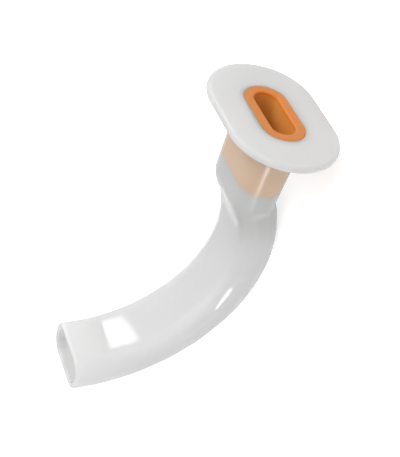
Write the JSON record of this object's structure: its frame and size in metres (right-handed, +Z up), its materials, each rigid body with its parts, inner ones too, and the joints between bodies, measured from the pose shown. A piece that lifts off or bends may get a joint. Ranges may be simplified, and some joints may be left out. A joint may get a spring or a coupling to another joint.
{
  "type": "oropharyngeal airway",
  "caption": "Curved, flattened oral airway tube with a flange, in soft translucent polymer, with a coloured rigid bite block pressed into its mouth",
  "frame": {"origin": "on the surface it lies on, below the centre of its bounding box", "axes": "+X across the flange, +Y out of the mouth end nearly along the bite section, +Z up, towards which the tip of the tube curves while the airway lies on its convex back"},
  "size_m": [0.0398, 0.0936, 0.0454],
  "materials": {
    "translucent_polymer": "soft satin, milky and translucent",
    "orange_plastic": "semi-gloss moulded"
  },
  "bodies": {
    "root": {"airway_body": "translucent_polymer", "bite_block": "orange_plastic"}
  },
  "joints": []
}
